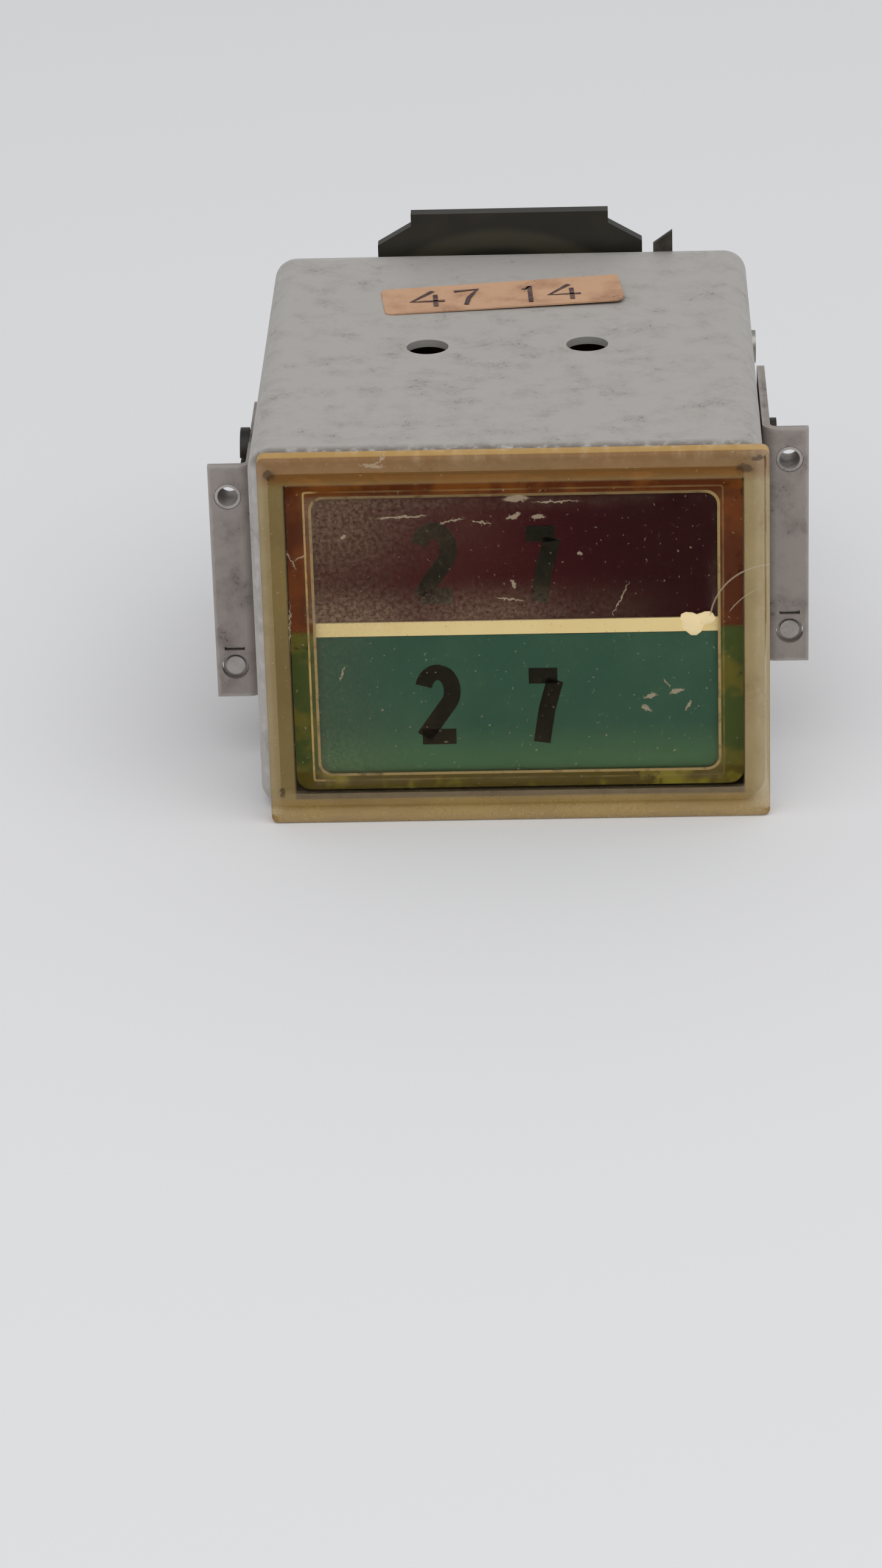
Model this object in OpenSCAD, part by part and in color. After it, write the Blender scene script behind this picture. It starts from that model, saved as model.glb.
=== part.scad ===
// Two-colour panel indicator lamp: lens cap with red and green filters, sheet-metal
// housing, four bayonet lamps, terminal board and two side brackets with nut strips.
// X runs to the right, Y to the rear, Z up. The origin is the middle of the housing's
// width, in the plane of the lens face, at the level that the lamp stands on.

/* [Housing] */
// Width over the side walls
housing_w = 51.6; // [50:0.1:56]
// Height over the top and bottom walls
housing_h = 39.3; // [38.5:0.1:42]
// Distance from the lens face to the rear edge of the walls
housing_rear = 61.8; // [60:0.1:70]
// Thickness of the folded sheet
sheet_t = 0.8; // [0.6:0.1:1]
// Outer radius of the four long folds
fold_r = 2.5; // [2.3:0.1:3]
// Outer radius of the bend round the front opening
lip_r = 2.1; // [1.8:0.1:2.2]
// Diameter of a vent hole
vent_d = 4.4; // [3:0.1:6]
// Distance of the vent holes from the lens face
vent_y = 33; // [30:0.5:36]

/* [Lens cap] */
// Width of the front plate
lens_w = 50.8; // [50:0.1:52]
// Height of the front plate
lens_h = 39.8; // [39:0.1:41]
// Thickness of the front plate
lens_t = 2.4; // [2:0.1:3]
// How far the cap's side spring holds it to the right
lens_shift = 0.8; // [0:0.1:0.8]
// Gap between the front plate and the housing
lens_gap = 0.5; // [0.1:0.1:1]
// Width over the skirt
skirt_w = 45.6; // [44:0.1:45.8]
// Height over the skirt
skirt_h = 34.2; // [33:0.1:34.4]
// Width of the pocket that holds the filters
pocket_w = 41.8; // [40:0.1:42]
// Height of the pocket that holds the filters
pocket_h = 31.6; // [30:0.1:31.8]
// Distance from the lens face to the end of the skirt
skirt_rear = 11; // [10:0.1:12]
// Thickness of a filter
filter_t = 1.5; // [1:0.1:2]
// Thickness of the divider strip
divider_t = 1.5; // [1:0.1:2]
// Height of the divider strip's middle
divider_z = 20.2; // [19.5:0.1:21]

/* [Lamps] */
// Distance between the lamps of one colour, and between the vent holes
lamp_pitch = 16.7; // [15:0.1:18]
// Diameter of the glass bulb
bulb_d = 10; // [8:0.1:11]
// Diameter of the lamp base
base_d = 9; // [8:0.1:9.2]
// Diameter of a bayonet pin
pin_d = 1; // [0.8:0.1:1.2]
// Angle that a lamp turns between locked and free
lock_angle = 40; // [30:1:50]

/* [Brackets] */
// Height of a bracket
bracket_h = 25.8; // [24:0.1:27]
// Thickness of the bracket sheet
bracket_t = 0.8; // [0.6:0.1:1]
// Distance from the lens face to the front of the ears
ear_y = 17; // [15:0.1:20]
// Distance between the outer edges of the two ears
ear_span = 61.6; // [60:0.1:64]
// Length of a bracket along the side wall
leg_l = 18.5; // [16:0.1:20]
// Height of the left bracket's lower edge
left_z = 6.8; // [6:0.1:7]
// Height of the right bracket's lower edge
right_z = 9.8; // [9.6:0.1:10]
// Distance between the two holes of an ear
ear_hole_pitch = 19.05; // [18:0.05:20]
// Diameter of an ear hole
ear_hole_d = 2.8; // [2.6:0.1:3]
// Diameter of the threaded hole in a nut strip
thread_d = 2.1; // [1.8:0.1:2.2]

/* [Rear] */
// Half width of the terminal board
board_half_w = 14.5; // [13:0.1:16]
// Height of the top of the terminal board
board_top = 43.6; // [42:0.1:46]
// Thickness of the terminal board
board_t = 1.6; // [1:0.1:2]
// Length of the spacers between the rear cover and the board
spacer_l = 1.5; // [1:0.1:3]

/* [Hidden] */
$fn = 64;
fit = 0.1;                                   // clearance of a sliding or loose fit
mid_z = housing_h / 2;
inner_w = housing_w - 2 * sheet_t;
inner_h = housing_h - 2 * sheet_t;
lip_y = lens_t + lens_gap;                   // front plane of the housing
walls_y = lip_y + lip_r;                     // where the flat walls begin
lens_mid_z = lens_h / 2;
web_ledge = 0.5;                             // depth of the shallow step behind the web
filter_y = lens_t + web_ledge + fit;
window_w = pocket_w - 1;
window_h = pocket_h - 1;
lamp_x = lamp_pitch / 2;
baffle_t = 0.8;
baffle_front = skirt_rear + 1;
upper_z = (divider_z + housing_h - sheet_t) / 2;
lower_z = (divider_z + sheet_t) / 2;
plate_y = 46;                                // front face of the lamp plate
plate_t = 1;
lamp_seats = [[-lamp_x, upper_z], [lamp_x, upper_z], [-lamp_x, lower_z], [lamp_x, lower_z]];
base_front = 39;
base_rear = 50;
pin_y = 44.5;
shell_bore_d = base_d + 0.4;
shell_d = shell_bore_d + 1.6;
shell_front = 40;
shell_rear = 54;
contact_y = base_rear + 1.05;                // face of the centre contact
post_y = 57;                                 // end of the centre contact
shim_t = 0.3;
leg_x = housing_w / 2 + shim_t;              // inner face of a bracket's leg
ear_bend_r = bracket_t + 0.6;
ear_x = (leg_x + bracket_t + ear_span / 2) / 2;
ear_hole_z = (bracket_h - ear_hole_pitch) / 2;
screw_y = 25.5;
upper_screw_z = 30.8;
lower_screw_z = 13.2;
slot_travel = right_z - left_z;
screw_d = 2.2;
slit_z = ear_hole_z + 2.05;                  // slit of an ear that the nut strip hooks into
slit = [2.1, 0.4];
strip_t = 0.5;
strip_w = 2.6;                               // narrower than the ear, to clear its bend
strip_off = 1;                               // gap between the ear and the strip's upper part
bush_sink = 0.05;                            // the bush's neck stops this short of the ear's face
cover_y = housing_rear - sheet_t;
board_y = housing_rear + spacer_l;
board_screws_at = [[-12, 8], [12, 8], [-12, 35], [12, 35]];
posts_at = concat(lamp_seats, [[0, divider_z]]);
post_flange_d = 3.4;
cover_flange_y = 54.5;                       // front end of the rear cover's flanges
cover_opening = [27, 29];
cover_screw_y = 57.5;
plate_flange_l = 6;
plate_rivet_y = 43.5;
side_rows = [mid_z - 10, mid_z + 10];        // heights of the side screws and rivets
side_hole_d = 2;
side_flange_h = 26;
spring_h = 16;
spring_rear = 21.5;
spring_rivet_y = 19;
spring_rivet_d = 1.6;
spring_rows = [mid_z - 5, mid_z + 5];
lug_x = [15.7, 17.8];                        // sides of the earth lug
lug_t = 0.6;
lug_rivet_z = 31;
lug_foot_w = 0.8;                            // how far its foot is wider on each side
wire_d = 1.1;

// ---- shapes that repeat ----

// A flat shape drawn in X and Z, made solid from y0 to y1.
module along_y(y0, y1) {
    translate([0, y1, 0]) rotate([90, 0, 0]) linear_extrude(y1 - y0) children();
}

// A profile of radius and distance, turned about an axis along Y.
module turned(x, z) {
    translate([x, 0, z]) rotate([-90, 0, 0]) rotate_extrude() children();
}

// A rectangle with round corners, centred.
module round_rect(w, h, r) {
    square([w - 2 * r, h], center = true);
    square([w, h - 2 * r], center = true);
    for (x = [-1, 1], z = [-1, 1])
        translate([x * (w / 2 - r), z * (h / 2 - r)]) circle(r);
}

// A closed frame between two round rectangles.
module frame(w, h, r, t) {
    difference() {
        round_rect(w, h, r);
        round_rect(w - 2 * t, h - 2 * t, max(r - t, 0.3));
    }
}

// A quarter of a ring of outer radius r, in the quadrant +X +Y.
module quarter_ring(r, t) {
    intersection() {
        difference() {
            circle(r);
            circle(r - t);
        }
        square(r);
    }
}

// A drill along X, through both side walls.
module across(y, z, d) {
    translate([-housing_w, y, z]) rotate([0, 90, 0]) cylinder(d = d, h = 2 * housing_w);
}

// A tube along a list of points, one polyhedron.
function unit(v) = v / norm(v);
function tangent(p, i) = unit(p[min(i + 1, len(p) - 1)] - p[max(i - 1, 0)]);
function side_of(t) = unit(cross(t, abs(t.z) < 0.9 ? [0, 0, 1] : [1, 0, 0]));
module tube_along(p, d, sides = 8) {
    rings = [for (i = [0:len(p) - 1])
        let (t = tangent(p, i), u = side_of(t), v = cross(t, u))
        for (k = [0:sides - 1])
            p[i] + d / 2 * (cos(360 * k / sides) * u + sin(360 * k / sides) * v)];
    last = (len(p) - 1) * sides;
    walls = [for (i = [0:len(p) - 2], k = [0:sides - 1])
        let (a = i * sides + k, b = i * sides + (k + 1) % sides)
        [a, b, b + sides, a + sides]];
    polyhedron(rings, concat(walls, [[for (k = [sides - 1:-1:0]) k]],
        [[for (k = [0:sides - 1]) last + k]]));
}

// ---- housing ----

module housing_walls() {
    translate([0, 0, mid_z])
        along_y(walls_y, housing_rear) frame(housing_w, housing_h, fold_r, sheet_t);
}

// The bend of the sheet round the front opening: four straight bends and four corners.
module front_bend() {
    flat_w = housing_w - 2 * fold_r;
    flat_h = housing_h - 2 * fold_r;
    for (s = [0, 1])
        translate([0, walls_y, mid_z]) mirror([0, 0, s])
            translate([-flat_w / 2, 0, housing_h / 2 - lip_r])
                rotate([90, 0, 90]) linear_extrude(flat_w)
                    mirror([1, 0]) quarter_ring(lip_r, sheet_t);
    for (s = [0, 1])
        translate([0, walls_y, mid_z]) mirror([s, 0, 0])
            translate([housing_w / 2 - lip_r, 0, -flat_h / 2])
                linear_extrude(flat_h) mirror([0, 1]) quarter_ring(lip_r, sheet_t);
    for (sx = [0, 1], sz = [0, 1])
        translate([0, walls_y, mid_z]) mirror([sx, 0, 0]) mirror([0, 0, sz])
            translate([flat_w / 2, 0, flat_h / 2]) rotate([90, 0, 0])
                rotate_extrude(angle = 90)
                    translate([fold_r - lip_r, 0]) quarter_ring(lip_r, sheet_t);
}

module housing_shell() {
    color("#9d9b97") difference() {
        union() {
            housing_walls();
            front_bend();
        }
        for (x = [-lamp_x, lamp_x])
            translate([x, vent_y, -1]) cylinder(d = vent_d, h = housing_h + 2);
        for (z = [lower_screw_z, upper_screw_z]) across(screw_y, z, screw_d);
        for (y = [plate_rivet_y, cover_screw_y], z = side_rows) across(y, z, side_hole_d);
        for (z = spring_rows)
            translate([-housing_w, spring_rivet_y, z]) rotate([0, 90, 0])
                cylinder(d = spring_rivet_d, h = housing_w);
    }
}

module rear_cover() {
    flange_l = cover_y - cover_flange_y;
    boss_r = 2.4;
    color("#8f8d89") difference() {
        union() {
            translate([0, 0, mid_z]) along_y(cover_y, housing_rear)
                round_rect(inner_w, inner_h, fold_r - sheet_t);
            for (s = [-1, 1])
                translate([s * (inner_w - sheet_t) / 2, cover_flange_y + flange_l / 2, mid_z])
                    cube([sheet_t, flange_l, side_flange_h], center = true);
        }
        translate([0, 0, mid_z]) along_y(cover_y - 1, housing_rear + 1) difference() {
            square(cover_opening, center = true);
            for (p = board_screws_at) translate([p.x, p.y - mid_z]) circle(boss_r);
        }
        for (p = board_screws_at)
            translate([p.x, 0, p.y]) along_y(cover_y - 1, housing_rear + 1) circle(d = screw_d);
        for (z = side_rows) across(cover_screw_y, z, side_hole_d);
        translate([(lug_x[0] + lug_x[1]) / 2, 0, lug_rivet_z])
            along_y(cover_y - 1, housing_rear + 1) circle(d = side_hole_d);
    }
}

// A screw through one side wall: round head outside, shank through the wall.
module side_screw(y, z, shank_d, head_d, head_t, wall_x, inside_x) {
    translate([wall_x, y, z]) rotate([0, 90, 0]) {
        cylinder(d = head_d, h = head_t);
        translate([0, 0, inside_x - wall_x]) cylinder(d = shank_d, h = wall_x - inside_x + 0.1);
    }
}

module cover_screws() {
    color("#77756f") for (s = [0, 1], z = side_rows) mirror([s, 0, 0])
        side_screw(cover_screw_y, z, side_hole_d, 3.6, 0.9, housing_w / 2, inner_w / 2 - 2);
}

module plate_rivets() {
    color("#a9a7a2") for (s = [0, 1], z = side_rows) mirror([s, 0, 0])
        side_screw(plate_rivet_y, z, side_hole_d, 3, 0.5, housing_w / 2, inner_w / 2 - 1.4);
}

// White sheet between the red and the green chamber, notched beside the cap spring.
module light_baffle() {
    notch_w = 2.6;
    color("#e6e2d6") difference() {
        translate([-inner_w / 2 + fit, baffle_front, divider_z - baffle_t / 2])
            cube([inner_w - 2 * fit, plate_y - baffle_front, baffle_t]);
        translate([-inner_w / 2 - 1, baffle_front - 1, divider_z - 2])
            cube([notch_w + 1, spring_rear + 1.5 - baffle_front, 4]);
    }
}

// Sheet across the housing that carries the sockets, with a flange at each side.
module lamp_plate() {
    flange_x = inner_w / 2 - fit - sheet_t / 2;
    color("#b5b3ac") difference() {
        union() {
            translate([0, 0, mid_z]) along_y(plate_y, plate_y + plate_t)
                round_rect(inner_w - 2 * fit, inner_h - 2 * fit, fold_r - sheet_t);
            for (s = [-1, 1])
                translate([s * flange_x, plate_y - plate_flange_l / 2, mid_z])
                    cube([sheet_t, plate_flange_l, side_flange_h], center = true);
        }
        translate([-housing_w / 2, plate_y - plate_flange_l - 1, divider_z - baffle_t])
            cube([housing_w, plate_flange_l + 1, 2 * baffle_t]);
        for (p = lamp_seats)
            translate([p.x, 0, p.y]) along_y(plate_y - 1, plate_y + 2) circle(d = shell_d + fit);
        for (z = side_rows) across(plate_rivet_y, z, side_hole_d);
    }
}

// ---- brackets ----

// Right-hand bracket with its lower edge at z = 0; the left one is its mirror image.
module bracket() {
    bend_x = leg_x + ear_bend_r;
    bend_y = ear_y + ear_bend_r;
    difference() {
        union() {
            translate([leg_x, bend_y, 0]) cube([bracket_t, leg_l - ear_bend_r, bracket_h]);
            translate([bend_x, ear_y, 0])
                cube([ear_span / 2 - bend_x, bracket_t, bracket_h]);
            translate([bend_x, bend_y, 0]) linear_extrude(bracket_h)
                mirror([1, 0]) mirror([0, 1]) quarter_ring(ear_bend_r, bracket_t);
        }
        for (z = [ear_hole_z, ear_hole_z + ear_hole_pitch])
            translate([ear_x, 0, z]) along_y(ear_y - 1, ear_y + 2) circle(d = ear_hole_d);
        translate([ear_x, ear_y, slit_z]) cube([slit.x, 4, slit.y], center = true);
        for (z = [lower_screw_z, upper_screw_z])
            translate([leg_x - 1, screw_y, z - right_z]) slot_cut();
    }
}

// A slot along Z, cut through along X, its lowest centre at the origin.
module slot_cut() {
    slot_d = screw_d + 0.3;
    rotate([90, 0, 90]) linear_extrude(3) {
        circle(d = slot_d);
        translate([0, slot_travel]) circle(d = slot_d);
        translate([-slot_d / 2, 0]) square([slot_d, slot_travel]);
    }
}

module bracket_right() {
    color("#7d7873") translate([0, 0, right_z]) bracket();
}

module bracket_left() {
    color("#7d7873") translate([0, 0, left_z]) mirror([1, 0, 0]) bracket();
}

module bracket_screws() {
    color("#1d1c1b") for (s = [0, 1], z = [lower_screw_z, upper_screw_z]) mirror([s, 0, 0])
        difference() {
            side_screw(screw_y, z, screw_d - 0.02, 5.2, 0.9, leg_x + bracket_t, inner_w / 2 - 2.2);
            translate([leg_x + bracket_t + 0.65, screw_y, z]) cube([0.6, 6, 0.7], center = true);
        }
}

module bracket_shims() {
    color("#5a4632") for (s = [0, 1], z = [lower_screw_z, upper_screw_z]) mirror([s, 0, 0])
        translate([housing_w / 2, screw_y, z]) rotate([0, 90, 0]) difference() {
            cylinder(d = 5, h = shim_t);
            translate([0, 0, -1]) cylinder(d = screw_d, h = 3);
        }
}

module bracket_nuts() {
    color("#8a8780") for (s = [0, 1], z = [lower_screw_z, upper_screw_z]) mirror([s, 0, 0])
        translate([inner_w / 2 - 1.6, screw_y, z]) rotate([0, 90, 0]) difference() {
            cylinder(d = 5.2, h = 1.6, $fn = 6);
            translate([0, 0, -1]) cylinder(d = screw_d, h = 4);
        }
}

// Spring strip behind an ear: a dimple sits in the lower hole, a tongue hooks into the slit,
// and the upper part stands off with a threaded bush whose neck fills the upper hole.
module nut_strip() {
    near_y = ear_y + bracket_t;
    far_y = near_y + strip_off;
    ends = [1, bracket_h - 1];
    ramp = [8, 10];
    bush_l = 2;
    bush_d = 3.3;
    neck_y = ear_y + bush_sink;
    dimple_d = 2;
    difference() {
        union() {
            translate([ear_x - strip_w / 2, 0, 0]) rotate([90, 0, 90]) linear_extrude(strip_w)
                polygon([
                    [near_y, ends[0]], [near_y, ramp[0]], [far_y, ramp[1]], [far_y, ends[1]],
                    [far_y + strip_t, ends[1]], [far_y + strip_t, ramp[1] - strip_t / 4],
                    [near_y + strip_t, ramp[0] - strip_t / 4], [near_y + strip_t, ends[0]]]);
            translate([ear_x, 0, ear_hole_z])
                along_y(ear_y + 0.4, near_y + strip_t / 2) circle(d = dimple_d);
            translate([ear_x, ear_y + 0.7, slit_z]) cube([slit.x - 0.2, 0.6, 0.2], center = true);
            translate([ear_x, 0, ear_hole_z + ear_hole_pitch]) {
                along_y(neck_y, far_y + strip_t / 2) circle(d = ear_hole_d - 0.1);
                along_y(far_y + strip_t / 2, far_y + strip_t + bush_l) circle(d = bush_d);
            }
        }
        translate([ear_x, 0, ear_hole_z + ear_hole_pitch])
            along_y(neck_y - 1, far_y + strip_t + bush_l + 1) circle(d = thread_d);
    }
}

module nut_strip_left() {
    color("#8b8680") translate([0, 0, left_z]) mirror([1, 0, 0]) nut_strip();
}

module nut_strip_right() {
    color("#8b8680") translate([0, 0, right_z]) nut_strip();
}

// ---- cap spring ----

// Bronze leaf on the left wall whose bowed end presses the lens skirt to the right.
module cap_spring() {
    wall_x = -inner_w / 2;
    leaf_t = 0.3;
    bow_x = lens_shift - skirt_w / 2 - fit;       // crest of the bow, beside the skirt
    bow_y = 9;
    tip_y = 6.2;
    color("#b08a4a") difference() {
        translate([0, 0, mid_z - spring_h / 2]) linear_extrude(spring_h) polygon([
            [wall_x, spring_rear], [wall_x, bow_y + 5.5], [bow_x - leaf_t, bow_y + 0.5],
            [bow_x - leaf_t, bow_y - 0.5], [wall_x + 0.4, tip_y], [wall_x + 0.7, tip_y - 0.2],
            [bow_x, bow_y - 0.7], [bow_x, bow_y + 0.7], [wall_x + leaf_t, bow_y + 5.7],
            [wall_x + leaf_t, spring_rear]]);
        for (z = spring_rows) translate([wall_x - 1, spring_rivet_y, z])
            rotate([0, 90, 0]) cylinder(d = spring_rivet_d, h = 3);
    }
}

module spring_rivets() {
    leaf_t = 0.3;
    color("#a9a7a2") for (z = spring_rows) {
        mirror([1, 0, 0])
            side_screw(spring_rivet_y, z, spring_rivet_d, 2.2, 0.25, housing_w / 2,
                inner_w / 2 - leaf_t);
        translate([leaf_t - inner_w / 2, spring_rivet_y, z]) rotate([0, 90, 0])
            cylinder(d = 2.6, h = 0.5);
    }
}

// ---- terminal board ----

module terminal_board() {
    neck_half_w = 10.8;
    color("#2a261a") difference() {
        along_y(board_y, board_y + board_t) polygon([
            [-board_half_w, 3], [board_half_w, 3], [board_half_w, board_top - 3.5],
            [neck_half_w, board_top - 1.35], [neck_half_w, board_top], [-neck_half_w, board_top],
            [-neck_half_w, board_top - 1.35], [-board_half_w, board_top - 3.5]]);
        for (p = board_screws_at)
            translate([p.x, 0, p.y]) along_y(board_y - 1, board_y + 3) circle(d = screw_d);
        for (p = posts_at)
            translate([p.x, 0, p.y]) along_y(board_y - 1, board_y + 3) circle(d = 2);
    }
}

module board_spacers() {
    color("#b9b7b1") for (p = board_screws_at)
        translate([p.x, 0, p.y]) along_y(housing_rear, board_y) difference() {
            circle(d = 4.2);
            circle(d = screw_d);
        }
}

module board_screws() {
    color("#8f8c84") for (p = board_screws_at) translate([p.x, 0, p.y]) difference() {
        union() {
            along_y(cover_y - 1, board_y + board_t + 0.1) circle(d = screw_d);
            along_y(board_y + board_t, board_y + board_t + 1.3) circle(d = 4.2);
        }
        translate([0, board_y + board_t + 1.1, 0]) cube([6, 0.8, 0.7], center = true);
    }
}

// Turned solder post riveted through the board, with a waist at each end for a wire.
module solder_posts() {
    rear_y = board_y + board_t;
    color("#c9c2a8") for (p = posts_at) turned(p.x, p.y) polygon([
        [0, board_y - 3.6], [1.1, board_y - 3.6], [1.1, board_y - 3], [0.7, board_y - 2.7],
        [0.7, board_y - 1.2], [post_flange_d / 2, board_y - 0.8], [post_flange_d / 2, board_y],
        [1, board_y], [1, rear_y], [post_flange_d / 2, rear_y], [post_flange_d / 2, rear_y + 0.6],
        [0.8, rear_y + 0.9], [0.8, rear_y + 2.3], [1.2, rear_y + 2.5], [1.2, rear_y + 3],
        [0.8, rear_y + 3.2], [0.8, rear_y + 4.6], [1.2, rear_y + 4.8], [1.2, rear_y + 5.3],
        [0, rear_y + 5.3]]);
}

// Strip riveted to the rear cover, its slanted end standing above the housing.
module earth_lug() {
    rivet_x = (lug_x[0] + lug_x[1]) / 2;
    foot_x = [lug_x[0] - lug_foot_w, lug_x[1] + lug_foot_w];
    lug_top = board_top - 1.9;
    color("#55524c") difference() {
        union() {
            along_y(housing_rear, housing_rear + lug_t) polygon([
                [foot_x[0], lug_rivet_z - 2.5], [foot_x[1], lug_rivet_z - 2.5],
                [foot_x[1], lug_rivet_z + 3], [lug_x[1], lug_rivet_z + 4], [lug_x[1], lug_top],
                [lug_x[0], lug_top - 1.5], [lug_x[0], lug_rivet_z + 4],
                [foot_x[0], lug_rivet_z + 3]]);
            translate([rivet_x, 0, lug_rivet_z]) {
                along_y(housing_rear, housing_rear + lug_t + 0.9) circle(d = 3.2);
                along_y(cover_y - 0.6, housing_rear + 0.1) circle(d = side_hole_d);
            }
        }
        translate([rivet_x, 0, lug_rivet_z + 6.6])
            along_y(housing_rear - 1, housing_rear + 2) circle(d = 1.1);
    }
}

// Strip of gummed paper, stuck on a little crooked.
module paper_label() {
    label = [25.6, 7.9, 0.12];
    color("#c49e73") translate([-0.7, 48, housing_h]) rotate([0, 0, 5.8])
        translate([-label.x / 2, -label.y / 2, 0]) cube(label);
}

// ---- sockets ----

// Brass shell with a collar against the lamp plate and two bayonet slots.
module socket(p) {
    slot_w = pin_d + 0.4;
    slot_end = lock_angle + 9;
    color("#b59a5b") difference() {
        turned(p.x, p.y) polygon([
            [shell_bore_d / 2, shell_front], [shell_d / 2, shell_front],
            [shell_d / 2, plate_y - 0.8], [shell_d / 2 + 1.3, plate_y - 0.8],
            [shell_d / 2 + 1.3, plate_y], [shell_d / 2, plate_y], [shell_d / 2, shell_rear],
            [shell_bore_d / 2, shell_rear]]);
        for (a = [0, 180]) translate([p.x, 0, p.y]) rotate([0, a, 0]) {
            translate([0, shell_front - 1, -slot_w / 2])
                cube([shell_d, pin_y + slot_w / 2 - shell_front + 1, slot_w]);
            intersection() {
                along_y(pin_y - slot_w / 2, pin_y + slot_w / 2) circle(d = shell_d + 1);
                along_y(pin_y - 2, pin_y + 2) polygon([
                    [0, 0], [shell_d, 0], [shell_d, -shell_d * tan(lock_angle / 2)],
                    [shell_d * cos(slot_end), -shell_d * sin(slot_end)]]);
            }
        }
    }
}

module socket_red_left() { socket(lamp_seats[0]); }
module socket_red_right() { socket(lamp_seats[1]); }
module socket_green_left() { socket(lamp_seats[2]); }
module socket_green_right() { socket(lamp_seats[3]); }

module socket_insulators() {
    color("#6b4a2b") for (p = lamp_seats)
        translate([p.x, 0, p.y]) along_y(shell_rear - 1.2, shell_rear) difference() {
            circle(d = shell_bore_d);
            circle(d = 2.2);
        }
}

module centre_contacts() {
    color("#b8a066") for (p = lamp_seats) turned(p.x, p.y) polygon([
        [0, contact_y], [2.2, contact_y], [2.2, contact_y + 0.5], [1, contact_y + 0.5],
        [1, post_y - 0.7], [1.5, post_y - 0.7], [1.5, post_y], [0, post_y]]);
}

// Coil between the contact's head and the insulator.
module contact_springs() {
    coil_y = [contact_y + 0.65, shell_rear - 1.35];
    turns = 1.5;
    steps = 18;
    coil_r = 1.6;
    color("#8c8a86") for (p = lamp_seats)
        tube_along([for (i = [0:steps]) let (a = 360 * turns * i / steps)
            [p.x + coil_r * cos(a), coil_y[0] + (coil_y[1] - coil_y[0]) * i / steps,
             p.y + coil_r * sin(a)]], 0.26, 6);
}

// ---- wires ----

// Points of a smooth line with four control points.
function curve(a, b, c, d, n) = [for (i = [0:n]) let (t = i / n, s = 1 - t)
    s * s * s * a + 3 * s * s * t * b + 3 * s * t * t * c + t * t * t * d];

module lamp_wires() {
    from_y = post_y - 1.4;
    to_y = board_y - 2;
    bulge = 3.6;
    color("#a33a2a") for (p = lamp_seats) {
        s = sign(p.x);
        tube_along(curve([p.x + s * 1.1, from_y, p.y], [p.x + s * bulge, from_y, p.y + 1.5],
            [p.x + s * bulge, to_y, p.y + 1.5], [p.x + s * 0.86, to_y, p.y], 12), wire_d);
    }
}

module common_wire() {
    color("#2f2d2b") tube_along(curve([0, plate_y + plate_t, divider_z + 3],
        [0, board_y - 6, divider_z + 3], [0, board_y - 2, divider_z + 6],
        [0, board_y - 2, divider_z + 0.8], 12), wire_d);
}

// ---- lens unit ----

module lens_cap() {
    color("#c8b070", 0.5) translate([lens_shift, 0, lens_mid_z]) difference() {
        union() {
            along_y(0, lens_t) round_rect(lens_w, lens_h, 0.5);
            along_y(lens_t, skirt_rear) round_rect(skirt_w, skirt_h, 1.5);
        }
        along_y(lens_t, lens_t + 1) round_rect(window_w, window_h, 1.35);
        along_y(lens_t + web_ledge, skirt_rear + 1) square([pocket_w, pocket_h], center = true);
    }
}

// A filter fills the pocket from the divider strip to the pocket's floor or roof.
module colour_filter(z0, z1) {
    translate([lens_shift - pocket_w / 2 + fit, filter_y, z0])
        cube([pocket_w - 2 * fit, filter_t, z1 - z0]);
}

module red_filter() {
    color("#5a1a22")
        colour_filter(divider_z + divider_t / 2 + fit, lens_mid_z + pocket_h / 2 - fit);
}

module green_filter() {
    color("#3f7258")
        colour_filter(lens_mid_z - pocket_h / 2 + fit, divider_z - divider_t / 2 - fit);
}

module divider_strip() {
    color("#d8cfae")
        translate([lens_shift - pocket_w / 2 + fit, filter_y, divider_z - divider_t / 2])
            cube([pocket_w - 2 * fit, 6, divider_t]);
}

// ---- lamps ----

// Brass cup with two pins and a solder contact.
module lamp_base(p) {
    color("#c0a468") difference() {
        union() {
            turned(p.x, p.y) polygon([
                [0, base_rear - 1.5], [base_d / 2 - 0.5, base_rear - 1.5],
                [base_d / 2 - 0.5, base_front], [base_d / 2, base_front],
                [base_d / 2, base_rear - 0.6], [base_d / 2 - 0.6, base_rear],
                [1.8, base_rear], [1.5, base_rear + 0.7], [1, base_rear + 1],
                [0, base_rear + 1]]);
            translate([p.x, pin_y, p.y]) rotate([0, 90 + lock_angle, 0])
                for (s = [0, 180]) rotate([0, s, 0]) translate([0, 0, base_d / 2 - 0.3])
                    cylinder(d = pin_d, h = 1.2);
        }
    }
}

module lamp_base_red_left() { lamp_base(lamp_seats[0]); }
module lamp_base_red_right() { lamp_base(lamp_seats[1]); }
module lamp_base_green_left() { lamp_base(lamp_seats[2]); }
module lamp_base_green_right() { lamp_base(lamp_seats[3]); }

// Glass bulb: a tube with a round front end and a neck held in the base.
module lamp_bulb(p) {
    glass_t = 0.6;
    r = bulb_d / 2;
    round_y = 25.5;
    neck_r = base_d / 2 - 0.6;
    color("#dfe6ea", 0.4) turned(p.x, p.y) difference() {
        union() {
            intersection() {
                translate([0, round_y]) circle(r);
                translate([0, round_y - r]) square([r, r]);
            }
            translate([0, round_y]) square([r, 36.5 - round_y]);
            polygon([[0, 36.5], [r, 36.5], [neck_r, 38.8], [neck_r, 43], [0, 43]]);
        }
        intersection() {
            translate([0, round_y]) circle(r - glass_t);
            translate([0, round_y - r]) square([r, r]);
        }
        translate([0, round_y]) square([r - glass_t, 36.4 - round_y]);
        polygon([[0, 36.4], [r - glass_t, 36.4], [neck_r - glass_t, 38.8],
            [neck_r - glass_t, 42.2], [0, 42.2]]);
    }
}

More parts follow.
